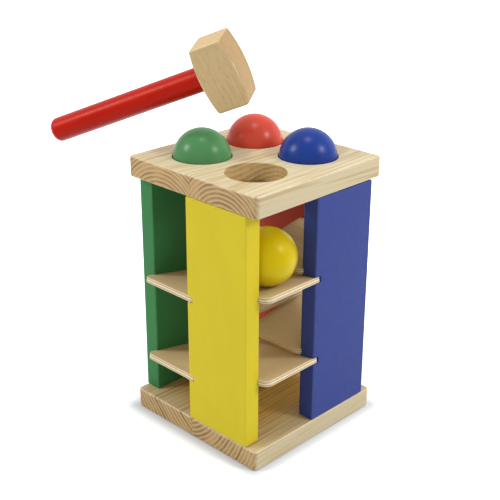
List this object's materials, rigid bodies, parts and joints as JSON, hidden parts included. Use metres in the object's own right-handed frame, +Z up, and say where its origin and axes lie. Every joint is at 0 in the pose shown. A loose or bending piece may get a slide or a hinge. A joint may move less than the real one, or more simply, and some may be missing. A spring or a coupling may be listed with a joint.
{
  "type": "pound and roll tower",
  "caption": "Square wooden pounding toy: painted boards and a spiral stair of plywood ramps between pine plates, balls that drop through holes in the top, and a hammer.",
  "frame": {"origin": "centre of the base's underside", "axes": "+Z up; +X along the right-hand side, from the front corner to the right corner; +Y along the left-hand side, from the front corner to the left corner"},
  "size_m": [0.1708, 0.2359, 0.3436],
  "materials": {
    "pine": "sanded, clear satin lacquer",
    "plywood": "sanded, plain",
    "hammer_hardwood": "sanded, clear satin lacquer",
    "dowel_beech": "plain",
    "rubber": "matt, natural gum rubber",
    "zinc_steel": "zinc plated",
    "blue_paint": "gloss paint on wood",
    "red_paint": "gloss paint on wood",
    "green_paint": "gloss paint on wood",
    "yellow_paint": "gloss paint on wood"
  },
  "bodies": {
    "tower": {"base_plate": "pine", "top_front_block": "pine", "top_right_block": "pine", "top_back_block": "pine", "top_left_block": "pine", "blue_side_board": "blue_paint", "red_side_board": "red_paint", "green_side_board": "green_paint", "yellow_side_board": "yellow_paint", "ramp_1": "plywood", "ramp_2": "plywood", "ramp_3": "plywood", "ramp_4": "plywood", "ramp_5": "plywood", "ramp_6": "plywood", "ramp_7": "plywood", "ramp_8": "plywood", "front_grip_ring": "rubber", "right_grip_ring": "rubber", "back_grip_ring": "rubber", "left_grip_ring": "rubber", "blue_board_dowel_1": "dowel_beech", "blue_board_dowel_2": "dowel_beech", "red_board_dowel_1": "dowel_beech", "red_board_dowel_2": "dowel_beech", "green_board_dowel_1": "dowel_beech", "green_board_dowel_2": "dowel_beech", "yellow_board_dowel_1": "dowel_beech", "yellow_board_dowel_2": "dowel_beech", "blue_board_screw_1": "zinc_steel", "blue_board_screw_2": "zinc_steel", "red_board_screw_1": "zinc_steel", "red_board_screw_2": "zinc_steel", "green_board_screw_1": "zinc_steel", "green_board_screw_2": "zinc_steel", "yellow_board_screw_1": "zinc_steel", "yellow_board_screw_2": "zinc_steel"},
    "blue_ball": {"blue_ball": "blue_paint"},
    "red_ball": {"red_ball": "red_paint"},
    "green_ball": {"green_ball": "green_paint"},
    "yellow_ball": {"yellow_ball": "yellow_paint"},
    "hammer": {"hammer_head": "hammer_hardwood", "hammer_handle": "red_paint"}
  },
  "joints": [
    {"name": "blue_ball_drop", "type": "slide", "parent": "tower", "child": "blue_ball", "axis": [0, 0, 1], "range_m": [-0.0499, 0], "deforming": ["right_grip_ring"]},
    {"name": "red_ball_drop", "type": "slide", "parent": "tower", "child": "red_ball", "axis": [0, 0, 1], "range_m": [-0.1058, 0], "deforming": ["back_grip_ring"]},
    {"name": "green_ball_drop", "type": "slide", "parent": "tower", "child": "green_ball", "axis": [0, 0, 1], "range_m": [-0.0872, 0], "deforming": ["left_grip_ring"]},
    {"name": "yellow_ball_roll", "type": "slide", "parent": "tower", "child": "yellow_ball", "axis": [0, 0.9833, -0.1822], "range_m": [0, 0.0303]},
    {"name": "hammer_swing", "type": "hinge", "parent": "tower", "child": "hammer", "pos_m": [-0.07766, 0.13666, 0.25652], "axis": [0.8364, 0.5156, 0.186], "range_deg": [-60, 8]}
  ]
}
